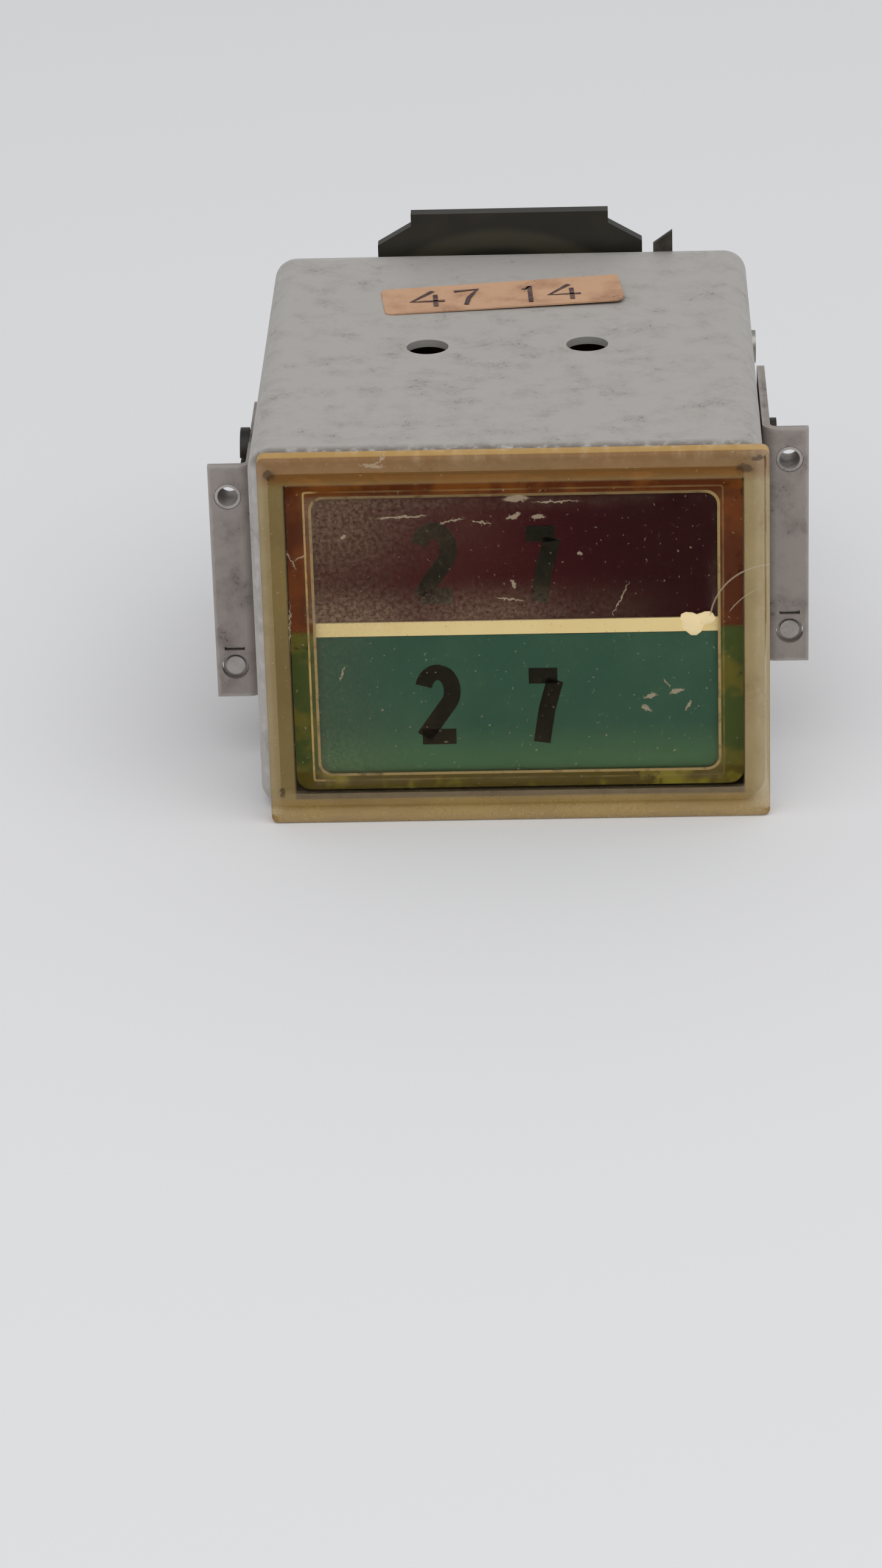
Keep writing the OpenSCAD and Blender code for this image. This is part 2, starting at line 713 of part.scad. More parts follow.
module lamp_bulb_red_left() { lamp_bulb(lamp_seats[0]); }
module lamp_bulb_red_right() { lamp_bulb(lamp_seats[1]); }
module lamp_bulb_green_left() { lamp_bulb(lamp_seats[2]); }
module lamp_bulb_green_right() { lamp_bulb(lamp_seats[3]); }

// Glass stem with two posts and the filament across their ends.
module filament(p) {
    post_x = 1.6;
    post_front = 30;
    color("#6d6a66") {
        turned(p.x, p.y) polygon([[0, 42.15], [2.6, 42.15], [1.2, 38], [1.2, 36], [0, 36]]);
        for (s = [-1, 1]) translate([p.x, 0, p.y])
            translate([s * post_x / 2, 0, 0]) along_y(post_front, 37) circle(d = 0.4);
        translate([p.x - post_x, post_front, p.y]) rotate([0, 90, 0])
            cylinder(d = 0.5, h = 2 * post_x);
    }
}

module filament_red_left() { filament(lamp_seats[0]); }
module filament_red_right() { filament(lamp_seats[1]); }
module filament_green_left() { filament(lamp_seats[2]); }
module filament_green_right() { filament(lamp_seats[3]); }

housing_shell();
rear_cover();
cover_screws();
light_baffle();
lamp_plate();
plate_rivets();
bracket_left();
bracket_right();
nut_strip_left();
nut_strip_right();
bracket_screws();
bracket_shims();
bracket_nuts();
cap_spring();
spring_rivets();
terminal_board();
board_spacers();
board_screws();
solder_posts();
earth_lug();
paper_label();
socket_red_left();
socket_red_right();
socket_green_left();
socket_green_right();
socket_insulators();
centre_contacts();
contact_springs();
lamp_wires();
common_wire();
lens_cap();
red_filter();
green_filter();
divider_strip();
lamp_base_red_left();
lamp_base_red_right();
lamp_base_green_left();
lamp_base_green_right();
lamp_bulb_red_left();
lamp_bulb_red_right();
lamp_bulb_green_left();
lamp_bulb_green_right();
filament_red_left();
filament_red_right();
filament_green_left();
filament_green_right();
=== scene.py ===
import math

import bpy
import numpy as np
from mathutils import Matrix, Vector


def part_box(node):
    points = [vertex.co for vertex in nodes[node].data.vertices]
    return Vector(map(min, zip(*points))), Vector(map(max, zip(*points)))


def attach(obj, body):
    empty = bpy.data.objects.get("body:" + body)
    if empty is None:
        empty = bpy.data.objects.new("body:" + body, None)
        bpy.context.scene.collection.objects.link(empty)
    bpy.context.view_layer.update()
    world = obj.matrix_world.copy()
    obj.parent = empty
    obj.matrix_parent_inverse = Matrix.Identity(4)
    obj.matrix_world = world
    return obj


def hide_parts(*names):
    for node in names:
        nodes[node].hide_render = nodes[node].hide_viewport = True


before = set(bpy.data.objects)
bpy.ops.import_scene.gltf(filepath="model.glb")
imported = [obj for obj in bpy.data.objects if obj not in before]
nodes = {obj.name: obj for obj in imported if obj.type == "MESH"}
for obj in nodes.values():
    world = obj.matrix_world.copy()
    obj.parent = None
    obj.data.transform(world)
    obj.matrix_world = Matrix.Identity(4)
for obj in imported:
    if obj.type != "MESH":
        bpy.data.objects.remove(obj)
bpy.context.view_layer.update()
mm = 0.001

# ---- housing shell and rear cover ----
# A box of grey sheet metal, folded at its four long edges and turned in at the front.
# It is stained by handling, rubbed bright along the folds, and given a fine grain.


def fill(tree, socket, value):
    """Links another node's output to an input, or sets a plain number, vector or colour."""
    if isinstance(value, bpy.types.NodeSocket):
        tree.links.new(value, socket)
    else:
        socket.default_value = value


def add(tree, kind, *values, **settings):
    """A shader node with its settings made and its inputs filled, by order or by name."""
    node = tree.nodes.new("ShaderNode" + kind)
    for name, value in settings.items():
        if hasattr(node, name):
            setattr(node, name, value)
        else:
            fill(tree, node.inputs[name.replace("_", " ")], value)
    for socket, value in zip(node.inputs, values):
        if value is not None:
            fill(tree, socket, value)
    return node


def maths(tree, operation, *values):
    """The result of one arithmetic step on numbers or sockets."""
    return add(tree, "Math", *values, operation=operation).outputs[0]


def mixed(tree, share, first, second):
    """The first colour turning to the second as share goes from 0 to 1."""
    node = add(tree, "Mix", share, data_type="RGBA")
    fill(tree, node.inputs[6], first)       # this node's colours are its sockets 6 and 7
    fill(tree, node.inputs[7], second)
    return node.outputs[2]


def rise(tree, value, low, high, top=1.0):
    """0 below low, top above high, smooth between; low may be the larger."""
    return add(tree, "MapRange", value, low, high, 0.0, top,
               interpolation_type="SMOOTHSTEP").outputs[0]


def clouds(tree, place, per_mm, seed=0.0, detail=4.0, roughness=0.6):
    """Noise with that many patches to the millimetre, from 0 to 1."""
    node = add(tree, "TexNoise", place, noise_dimensions="4D", W=seed, Scale=per_mm / mm,
               Detail=detail, Roughness=roughness)
    return node.outputs[0]


def tone(red, green, blue):
    """Linear colour of an 8-bit display tone."""
    return tuple(((c / 255 + 0.055) / 1.055) ** 2.4 for c in (red, green, blue)) + (1.0,)


def group(name, inputs, outputs):
    """An empty node group with those sockets; returns its tree and its input and output nodes."""
    tree = bpy.data.node_groups.new(name, "ShaderNodeTree")
    for direction, sockets in (("INPUT", inputs), ("OUTPUT", outputs)):
        for label, kind in sockets.items():
            tree.interface.new_socket(label, in_out=direction, socket_type="NodeSocket" + kind)
    return tree, tree.nodes.new("NodeGroupInput"), tree.nodes.new("NodeGroupOutput")


def use(tree, made, **values):
    """Places a node group in a tree, with its inputs filled by name."""
    node = tree.nodes.new("ShaderNodeGroup")
    node.node_tree = made
    for name, value in values.items():
        fill(tree, node.inputs[name], value)
    return node.outputs


# Handling stains: broad soft blotches, small dark specks and fine grain.
stains, given, made = group("stains", {"Place": "Vector", "Size": "Float", "Seed": "Float"},
                            {"Blotch": "Float", "Speck": "Float", "Grain": "Float"})
broad = add(stains, "TexNoise", given.outputs[0], noise_dimensions="4D", W=given.outputs[2],
            Detail=5.0, Roughness=0.62,
            Scale=maths(stains, "DIVIDE", 1 / mm, given.outputs[1])).outputs[0]
small = add(stains, "TexNoise", given.outputs[0], noise_dimensions="4D", W=given.outputs[2],
            Detail=3.0, Roughness=0.7,
            Scale=maths(stains, "DIVIDE", 9 / mm, given.outputs[1])).outputs[0]
fill(stains, made.inputs[0], rise(stains, broad, 0.42, 0.72))
fill(stains, made.inputs[1], rise(stains, maths(stains, "MULTIPLY", small, broad), 0.33, 0.42))
fill(stains, made.inputs[2], clouds(stains, given.outputs[0], 6.0, 3.0, 6.0, 0.75))

# Rubbed edges of a box-shaped piece: 1 where two of its faces are near, broken by noise.
wear, given, made = group("rubbed_edges", {"Place": "Vector", "Low": "Vector", "High": "Vector",
                                           "Width": "Float"}, {"Edge": "Float"})
gaps = [add(wear, "SeparateXYZ", add(wear, "VectorMath", *pair, operation="SUBTRACT").outputs[0])
        for pair in ((given.outputs[0], given.outputs[1]), (given.outputs[2], given.outputs[0]))]
near = [maths(wear, "ABSOLUTE", maths(wear, "MINIMUM", gaps[0].outputs[k], gaps[1].outputs[k]))
        for k in range(3)]
second = maths(wear, "MAXIMUM", maths(wear, "MINIMUM", near[0], near[1]),
               maths(wear, "MINIMUM", maths(wear, "MAXIMUM", near[0], near[1]), near[2]))
ragged = maths(wear, "MULTIPLY", given.outputs[3],
               rise(wear, clouds(wear, given.outputs[0], 0.6, 1.0, 5.0), 0.3, 0.75, 1.6))
fill(wear, made.inputs[0], rise(wear, maths(wear, "SUBTRACT", second, ragged), 0.3 * mm, 0.0))


def material(name):
    """A new material: its tree, its Principled shader and its Object coordinates."""
    made = bpy.data.materials.new(name)
    made.use_nodes = True
    shader = made.node_tree.nodes["Principled BSDF"]
    place = add(made.node_tree, "TexCoord").outputs["Object"]
    return made, made.node_tree, shader, place


def sheet_metal(name, base, stain, rubbed, low, high, size=9.0, seed=0.0, width=0.7,
                roughness=0.5, metallic=0.8, stain_share=0.8, relief=0.02, rub=0.6):
    """Dull sheet metal: base tone, darker stains, rubbed edges and a fine rolled grain."""
    made, tree, shader, place = material(name)
    patch = use(tree, stains, Place=place, Size=size, Seed=seed)
    edge = use(tree, wear, Place=place, Low=low, High=high, Width=width * mm)[0]
    colour = mixed(tree, maths(tree, "MULTIPLY", patch["Blotch"], stain_share), base, stain)
    colour = mixed(tree, maths(tree, "MULTIPLY", patch["Speck"], 0.7), colour,
                   tuple(0.45 * c for c in stain[:3]) + (1.0,))
    colour = mixed(tree, rise(tree, patch["Grain"], 0.35, 0.8, 0.3), colour, rubbed)
    colour = mixed(tree, maths(tree, "MULTIPLY", edge, rub), colour, rubbed)
    fill(tree, shader.inputs["Base Color"], colour)
    rough = maths(tree, "MULTIPLY_ADD", patch["Blotch"], 0.14, roughness)
    fill(tree, shader.inputs["Roughness"], maths(tree, "MULTIPLY_ADD", edge, -0.15, rough))
    shader.inputs["Metallic"].default_value = metallic
    bump = add(tree, "Bump", Height=patch["Grain"], Strength=0.35, Distance=relief * mm)
    fill(tree, shader.inputs["Normal"], bump.outputs[0])
    return made


def shade_over(finish, share, colour):
    """Turns a finished material's base colour to one more colour, by share."""
    tree = finish.node_tree
    base = tree.nodes["Principled BSDF"].inputs["Base Color"]
    fill(tree, base, mixed(tree, share, base.links[0].from_socket, colour))


def where(tree):
    """A material's Object coordinates, whole and as x, y and z."""
    place = add(tree, "TexCoord").outputs["Object"]
    return place, *add(tree, "SeparateXYZ", place).outputs


def dress(names, finish):
    """Gives CAD nodes that finish in place of their plain one."""
    for name in names:
        nodes[name].data.materials.clear()
        nodes[name].data.materials.append(finish)


low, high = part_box("housing_shell")
housing_metal = sheet_metal("housing_metal", tone(186, 182, 177), tone(156, 151, 147),
                            tone(206, 202, 198), low, high, size=3.2, roughness=0.58,
                            metallic=0.5, stain_share=0.5, rub=0.3)
tree = housing_metal.node_tree
place, _, y, z = where(tree)
# Darker brown band along the housing's top front fold, broken by noise.
front_fold_darkening = maths(tree, "MULTIPLY", rise(tree, y, low.y + 2.4 * mm, low.y + 0.7 * mm),
                   rise(tree, clouds(tree, place, 0.9, 4.0, 5.0), 0.3, 0.55, 0.85))
front_fold_darkening = maths(tree, "MULTIPLY", front_fold_darkening,
                   rise(tree, z, high.z - 2.0 * mm, high.z - 0.5 * mm))
shade_over(housing_metal, front_fold_darkening, tone(78, 58, 44))
dress(["housing_shell", "rear_cover"], housing_metal)

# ---- brackets and their fasteners ----
# Bent steel legs with an ear at each side, dark and dull, screwed to the side walls. A
# paler strip with a thread for the panel's screw lies behind each ear. The leg screws are
# blackened; the nuts, the other screws and the rivets are plain.
for side in ("left", "right"):
    low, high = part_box("bracket_" + side)
    dress(["bracket_" + side], sheet_metal("bracket_metal_" + side, tone(164, 155, 149),
          tone(128, 118, 112), tone(184, 177, 172), low, high, size=3.5, width=0.15,
          seed=5.0 if side == "left" else 8.0, roughness=0.55, metallic=0.5,
          stain_share=0.7))
    name = "nut_strip_" + side
    low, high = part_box(name)
    dress([name], sheet_metal("strip_metal_" + side, tone(188, 182, 177), tone(150, 143, 138),
                              tone(214, 210, 206), low, high, size=3.0, width=0.1,
                              seed=11.0, roughness=0.5, metallic=0.5))


def plain_metal(name, base, dark, roughness, seed=0.0, metallic=1.0):
    """Small metal parts: a base tone clouded with a darker one."""
    made, tree, shader, place = material(name)
    patch = use(tree, stains, Place=place, Size=4.0, Seed=seed)
    fill(tree, shader.inputs["Base Color"], mixed(tree, patch["Blotch"], base, dark))
    fill(tree, shader.inputs["Roughness"],
         maths(tree, "MULTIPLY_ADD", patch["Grain"], 0.2, roughness))
    shader.inputs["Metallic"].default_value = metallic
    return made


dress(["bracket_screws"], plain_metal("blackened_steel", tone(42, 40, 38), tone(70, 60, 50),
                                      0.35, 2.0, 0.6))
dress(["bracket_nuts", "cover_screws", "board_screws", "board_spacers", "lamp_plate"],
      plain_metal("plated_steel", tone(178, 176, 170), tone(140, 134, 124), 0.3, 4.0))
dress(["plate_rivets", "spring_rivets"],
      plain_metal("rivet_metal", tone(190, 188, 182), tone(150, 146, 140), 0.35, 6.0))

# ---- lens cap ----
# One clear moulding, yellowed with age: a thick face plate, a skirt that slides into the
# housing, and a shallow window with round corners moulded in its back.


def rounded_ring(middle, half, radius, y, steps=8):
    """A rectangle with round corners in a plane of constant y, anticlockwise seen from -Y."""
    turn = np.linspace(0, math.pi / 2, steps + 1)
    quarter = np.concatenate([turn + k * math.pi / 2 for k in range(4)])
    sign_x = np.repeat([1, -1, -1, 1], steps + 1)
    sign_z = np.repeat([1, 1, -1, -1], steps + 1)
    x = middle[0] + sign_x * (half[0] - radius) + radius * np.cos(quarter)
    z = middle[1] + sign_z * (half[1] - radius) + radius * np.sin(quarter)
    return np.stack([x, np.full_like(x, y), z], axis=1)


def skin(name, grid, finish, body, ends="capped", smooth=40):
    """A mesh over rings of points: neighbours in a ring and from ring to ring make faces.
    The ends are capped by a fan to their middle, joined to each other, or left open."""
    rings, around = grid.shape[:2]
    points = grid.reshape(-1, 3)
    i, j = np.meshgrid(np.arange(rings if ends == "joined" else rings - 1),
                       np.arange(around), indexing="ij")
    k, after = (j + 1) % around, (i + 1) % rings
    faces = np.stack([i * around + j, after * around + j, after * around + k,
                      i * around + k], axis=-1).reshape(-1, 4).tolist()
    if ends == "capped":
        points = np.vstack([points, grid[0].mean(0), grid[-1].mean(0)])
        ring = np.arange(around)
        first, last = rings * around, rings * around + 1
        faces += np.stack([np.full(around, first), ring, np.roll(ring, -1)], 1).tolist()
        end = ring + (rings - 1) * around
        faces += np.stack([np.full(around, last), np.roll(end, -1), end], 1).tolist()
    mesh = bpy.data.meshes.new(name)
    mesh.from_pydata((points * mm).tolist(), [], faces)
    mesh.polygons.foreach_set("use_smooth", np.ones(len(mesh.polygons), bool))
    mesh.set_sharp_from_angle(angle=math.radians(smooth))
    mesh.materials.append(finish)
    made = bpy.data.objects.new(name, mesh)
    bpy.context.scene.collection.objects.link(made)
    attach(made, body)
    return made


low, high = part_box("lens_cap")
middle = ((low.x + high.x) / 2 / mm, (low.z + high.z) / 2 / mm)
plate = ((high.x - low.x) / 2 / mm, (high.z - low.z) / 2 / mm)
skirt_rear = high.y / mm
plate_back, ledge_back, divider_z = 2.4, 2.9, 20.2
skirt, pocket, window = (22.8, 17.1), (20.9, 15.8), (20.4, 15.3)       # half sizes
plate_corner, skirt_corner, pocket_corner, window_corner = 0.7, 1.5, 0.3, 1.35
edge, skirt_edge, fillet = 0.4, 0.2, 0.3


def bent_edge(half, radius, edge, y_from, y_to, out):
    """Rings round an edge rolled by a quarter circle; out is +1 where the ring grows."""
    turns = np.linspace(0, math.pi / 2, 6)
    grow = np.sin(turns) if out > 0 else 1 - np.cos(turns)
    rings = []
    for t, g in zip(turns, grow):
        swell = edge * (g - 1) if out > 0 else -edge * g
        depth = (1 - math.cos(t)) if out > 0 else math.sin(t)
        rings.append(rounded_ring(middle, (half[0] + swell, half[1] + swell),
                                  radius, y_from + (y_to - y_from) * depth))
    return rings


cap_rings = (bent_edge(plate, plate_corner, edge, 0, edge, 1)
             + bent_edge(plate, plate_corner, edge, plate_back - edge, plate_back, -1)
             + [rounded_ring(middle, (skirt[0] + fillet, skirt[1] + fillet),
                             skirt_corner + 0.2, plate_back),
                rounded_ring(middle, skirt, skirt_corner, plate_back + fillet)]
             + bent_edge(skirt, skirt_corner, skirt_edge, skirt_rear - skirt_edge,
                         skirt_rear, -1)
             + [rounded_ring(middle, pocket, pocket_corner, skirt_rear),
                rounded_ring(middle, pocket, pocket_corner, ledge_back),
                rounded_ring(middle, window, window_corner, ledge_back),
                rounded_ring(middle, window, window_corner, plate_back)])

clear, tree, shader, _ = material("yellowed_clear_plastic")
shader.inputs["Base Color"].default_value = (1.0, 0.985, 0.94, 1.0)
shader.inputs["Transmission Weight"].default_value = 1.0
shader.inputs["Roughness"].default_value = 0.06
shader.inputs["IOR"].default_value = 1.08
absorb = add(tree, "VolumeAbsorption", Color=(0.93, 0.72, 0.24, 1.0), Density=110.0)
tree.links.new(absorb.outputs[0], tree.nodes["Material Output"].inputs["Volume"])
lens = skin("lens_moulding", np.array(cap_rings), clear, "lens_unit")
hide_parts("lens_cap")


# ---- ledge of the lens cap ----
# The plastic round the window is the full depth of the skirt. The light seen through that depth
# is painted on a thin band:
# deep amber, taking the colour of the filter beside it, red-brown above and olive below, with
# dark dashes of painted shade along its top. The edges of the window and of the pocket behind it
# get painted highlights as thin pale lines.
painted_band_drop = 0.3         # how far the painted light bands lie below the middle of the plate


def from_middle(tree, place, centre):
    """Object coordinates in millimetres from a point (x, z): whole, then x, y and z."""
    shift = add(tree, "VectorMath", place, (centre[0] * mm, 0, centre[1] * mm),
                operation="SUBTRACT").outputs[0]
    scaled = add(tree, "VectorMath", shift, operation="SCALE", Scale=1 / mm).outputs[0]
    return scaled, *add(tree, "SeparateXYZ", scaled).outputs


def band(name, outer, inner, corners, y, thickness, finish, drop=0.0):
    """A flat frame between two round-cornered rectangles, the inner one dropped."""
    inside = (middle[0], middle[1] - drop)
    rings = [rounded_ring(inside, inner, corners[1], y),
             rounded_ring(middle, outer, corners[0], y),
             rounded_ring(middle, outer, corners[0], y + thickness),
             rounded_ring(inside, inner, corners[1], y + thickness)]
    return skin(name, np.array(rings), finish, "lens_unit", ends="joined")


amber, tree, shader, place = material("ledge_light_paint")
_, _, _, up = from_middle(tree, place, middle)
patch = use(tree, stains, Place=place, Size=6.0, Seed=4.0)
long_patch = clouds(tree, add(tree, "VectorMath", place, (0.35, 1.0, 0.35),
                              operation="MULTIPLY").outputs[0], 0.5, 2.0, 3.0)
# Painted light: the filters' colours seen through the skirt's depth. Red-brown beside the red
# sheet, olive beside the green, orange-brown along the top and yellow-olive along the bottom.
red_filter_glow = mixed(tree, rise(tree, long_patch, 0.4, 0.6), tone(128, 76, 50), tone(100, 58, 44))
top = mixed(tree, rise(tree, long_patch, 0.42, 0.58), tone(138, 84, 38), tone(100, 52, 26))
olive_filter_glow = mixed(tree, rise(tree, long_patch, 0.42, 0.55), tone(112, 112, 58),
                   tone(76, 96, 58))
base = mixed(tree, rise(tree, long_patch, 0.48, 0.62), tone(96, 90, 42), tone(150, 150, 62))
divide = divider_z - middle[1]
colour = mixed(tree, rise(tree, up, divide - 0.3, divide + 0.3), olive_filter_glow, red_filter_glow)
colour = mixed(tree, rise(tree, up, window[1] - 0.4, window[1] + 0.1), colour, top)
colour = mixed(tree, rise(tree, up, -window[1] + 0.4, -window[1] - 0.1), colour, base)
# Painted shade: dark red dashes along the top of the band.
shadow_dashes = clouds(tree, add(tree, "VectorMath", place, (0.3, 1.0, 1.0),
                          operation="MULTIPLY").outputs[0], 0.55, 9.0, 2.0)
shadow_dashes = maths(tree, "MULTIPLY", rise(tree, shadow_dashes, 0.5, 0.58),
               rise(tree, up, skirt[1] - 1.1, skirt[1] - 0.6, 0.85))
colour = mixed(tree, shadow_dashes, colour, tone(62, 20, 12))
fill(tree, shader.inputs["Base Color"],
     mixed(tree, maths(tree, "MULTIPLY", patch["Speck"], 0.6), colour, tone(40, 26, 14)))
shader.inputs["Roughness"].default_value = 0.6
shader.inputs["Specular IOR Level"].default_value = 0.1
band("painted_ledge_light", skirt, (window[0], window[1] - 0.1), (skirt_corner, window_corner),
             plate_back + 0.05, 0.05, amber, drop=painted_band_drop)

# Painted highlight: a thin pale line round the window's edge, strongest along its bottom and
# sides.
pale, tree, shader, place = material("window_highlight_paint")
_, across, _, up = from_middle(tree, place, middle)
shader.inputs["Base Color"].default_value = tone(214, 196, 152)
shader.inputs["Roughness"].default_value = 0.5
highlight_share = maths(tree, "MAXIMUM", rise(tree, up, -window[1] + 2.0, -window[1] + 0.5),
              rise(tree, maths(tree, "ABSOLUTE", across), window[0] - 2.0, window[0] - 0.5))
highlight_share = maths(tree, "MULTIPLY_ADD", highlight_share, 0.35, 0.3)
fill(tree, shader.inputs["Alpha"],
     maths(tree, "MULTIPLY", highlight_share, rise(tree, clouds(tree, place, 0.6, 3.0, 4.0), 0.25, 0.5)))
window_highlight_band = band("painted_window_highlight", (window[0] + 0.12, window[1] + 0.02),
                 (window[0] - 0.16, window[1] - 0.26), (1.45, 1.25), plate_back + 0.02, 0.02,
                 pale)
window_highlight_band.data.transform(Matrix.Translation((0, 0, -painted_band_drop * mm)))

# Painted highlight: a pale glint along the pocket's edge, strongest on its left.
glint_paint, tree, shader, place = material("pocket_glint")
_, across, _, _ = from_middle(tree, place, middle)
shader.inputs["Base Color"].default_value = tone(236, 216, 160)
shader.inputs["Roughness"].default_value = 0.5
left_glint = rise(tree, across, -pocket[0] + 1.5, -pocket[0] + 0.5, 0.65)
fill(tree, shader.inputs["Alpha"],
     maths(tree, "MULTIPLY", maths(tree, "ADD", left_glint, 0.1),
           rise(tree, clouds(tree, place, 0.25, 5.0, 4.0), 0.3, 0.6)))
glint = band("painted_pocket_glint", (pocket[0] + 0.1, pocket[1] + 0.1),
             (pocket[0] - 0.1, pocket[1] - 0.1), (pocket_corner, 0.2), plate_back - 0.02, 0.02,
             glint_paint)
glint.data.transform(Matrix.Translation((-0.1 * mm, 0, -painted_band_drop * mm)))

# ---- grime on the lens cap ----
# Years of handling have left a yellow-grey haze on the face plate, thickest on its border
# and edges, with scuffs, lint and dried residue in its corners.
marks, given, made = group("mark", {"Place": "Vector", "Centre": "Vector", "Turn": "Vector",
                                    "Half": "Vector", "Seed": "Float"}, {"Mark": "Float"})
ragged = add(marks, "TexNoise", given.outputs[0], noise_dimensions="4D", W=given.outputs[4],
             Scale=3.2, Detail=4.0)
shaken = add(marks, "VectorMath", ragged.outputs[1], (0.5, 0.5, 0.5), operation="SUBTRACT")
shaken = add(marks, "VectorMath", shaken.outputs[0], operation="SCALE", Scale=0.8)
moved = add(marks, "VectorMath", given.outputs[0], shaken.outputs[0], operation="ADD")
laid = add(marks, "Mapping", moved.outputs[0], given.outputs[1], given.outputs[2],
           given.outputs[3], vector_type="TEXTURE")
reach = add(marks, "VectorMath", laid.outputs[0], operation="LENGTH").outputs["Value"]
fill(marks, made.inputs[0], rise(marks, reach, 1.0, 0.55))


def marked(tree, face, spots, share):
    """The strongest of a list of marks: (x, z, half length, half width, turn, seed) each."""
    total = None
    for x, z, half_long, half_wide, turn, seed in spots:
        mark = use(tree, marks, Place=face, Centre=(x, 0, z), Turn=(0, math.radians(-turn), 0),
                   Half=(half_long, 30, half_wide), Seed=seed)[0]
        total = mark if total is None else maths(tree, "MAXIMUM", total, mark)
    return maths(tree, "MULTIPLY", total, share)


def arc_line(tree, across, up, centre, radius, width, low_z, high_z):
    """A thin curved line on the face: near a circle, between two heights."""
    x = maths(tree, "SUBTRACT", across, centre[0])
    z = maths(tree, "SUBTRACT", up, centre[1])
    far = maths(tree, "SQRT", maths(tree, "ADD", maths(tree, "MULTIPLY", x, x),
                                    maths(tree, "MULTIPLY", z, z)))
    off = maths(tree, "ABSOLUTE", maths(tree, "SUBTRACT", far, radius))
    line = rise(tree, off, width, width * 0.3)
    inside = maths(tree, "MULTIPLY", rise(tree, up, low_z, low_z + 0.5),
                   rise(tree, up, high_z, high_z - 0.5))
    return maths(tree, "MULTIPLY", line, inside)


grime, tree, shader, place = material("lens_grime")
face, across, deep, up = from_middle(tree, place, middle)
side, height = maths(tree, "ABSOLUTE", across), maths(tree, "ABSOLUTE", up)
out_of_skirt = maths(tree, "MAXIMUM", maths(tree, "SUBTRACT", side, skirt[0]),
                     maths(tree, "SUBTRACT", height, skirt[1]))
out_of_window = maths(tree, "MAXIMUM", maths(tree, "SUBTRACT", side, window[0]),
                      maths(tree, "SUBTRACT", height, window[1]))
border = rise(tree, out_of_skirt, -0.15, 0.2)
broad = clouds(tree, place, 0.09, 2.0, 4.0)
fine = clouds(tree, place, 2.2, 5.0, 6.0, 0.75)
edge_side = rise(tree, deep, 0.25, 0.7)

border_tone = mixed(tree, rise(tree, across, -25.0, 25.0), tone(168, 144, 88),
                    tone(184, 160, 104))
border_tone = mixed(tree, rise(tree, up, 16.6, 18.0), border_tone, tone(154, 104, 42))
border_tone = mixed(tree, rise(tree, up, -16.6, -18.0), border_tone, tone(184, 148, 72))
border_tone = mixed(tree, rise(tree, broad, 0.4, 0.7, 0.45), border_tone, tone(140, 108, 58))
dust_tone = mixed(tree, rise(tree, broad, 0.4, 0.65), tone(160, 136, 108), tone(130, 108, 88))
colour = mixed(tree, border, dust_tone, border_tone)
colour = mixed(tree, edge_side, colour, tone(204, 160, 82))

dusty_corner = maths(tree, "MULTIPLY", rise(tree, across, 4.0, -19.0),
                     rise(tree, up, 3.0, 14.0))
low_band = maths(tree, "MULTIPLY", rise(tree, up, 7.5, 2.4), rise(tree, up, 2.0, 2.6))
low_band = maths(tree, "MULTIPLY", low_band, rise(tree, across, 19.0, -6.0))
rim_dust = maths(tree, "MULTIPLY", rise(tree, out_of_window, -1.8, -0.2),
                 rise(tree, out_of_window, 0.5, 0.0))
haze = maths(tree, "MULTIPLY_ADD", dusty_corner, 0.19, 0.006)
haze = maths(tree, "MULTIPLY_ADD", low_band, 0.3, haze)
haze = maths(tree, "MULTIPLY_ADD", rise(tree, across, -8.0, -20.0), 0.07, haze)
haze = maths(tree, "MULTIPLY_ADD", maths(tree, "MULTIPLY", rim_dust,
                                         rise(tree, broad, 0.4, 0.65)), 0.12, haze)
haze = maths(tree, "MULTIPLY_ADD", rise(tree, up, -6.0, -14.0), 0.04, haze)
haze = maths(tree, "MULTIPLY", haze, rise(tree, fine, 0.25, 0.72, 1.9))
haze = maths(tree, "MULTIPLY", haze, rise(tree, out_of_window, 1.0, 0.0))
border_haze = maths(tree, "MULTIPLY_ADD", fine, 0.14, 0.47)
alpha = add(tree, "Mix", border, None, haze, border_haze).outputs[0]
alpha = add(tree, "Mix", edge_side, None, alpha,
            maths(tree, "MULTIPLY_ADD", fine, 0.14, 0.58)).outputs[0]

scuffs = marked(tree, face, [
    (-11.2, 13.6, 3.4, 0.16, 3, 1.0), (-6.2, 13.1, 1.6, 0.12, 12, 2.0),
    (-3.2, 12.9, 1.4, 0.1, -6, 3.0), (0.0, 13.5, 1.0, 0.35, 20, 4.0),
    (2.4, 13.4, 0.9, 0.3, 0, 5.0), (0.3, 15.4, 1.6, 0.5, 4, 6.0),
    (4.2, 15.0, 3.0, 0.14, 1, 7.0), (-0.6, 4.6, 1.9, 0.16, -8, 8.0),
    (-0.2, 6.2, 0.25, 0.6, 10, 9.0), (13.4, -6.3, 0.9, 0.3, 12, 10.0),
    (12.9, -7.6, 0.7, 0.28, -25, 11.0), (16.0, -5.8, 0.9, 0.32, 15, 12.0),
    (17.2, -7.4, 0.8, 0.2, 60, 13.0), (6.5, 9.4, 0.35, 0.3, 0, 14.0),
    (-13.9, 19.1, 1.6, 0.22, -4, 15.0), (-13.2, 19.6, 1.2, 0.12, 35, 16.0),
    (10.4, 4.2, 2.6, 0.08, 64, 17.0), (-17.6, -3.2, 1.1, 0.1, 70, 18.0),
    (15.0, -4.9, 0.7, 0.12, -50, 19.0), (-17.0, 11.6, 0.5, 0.25, 30, 20.0)], 0.62)
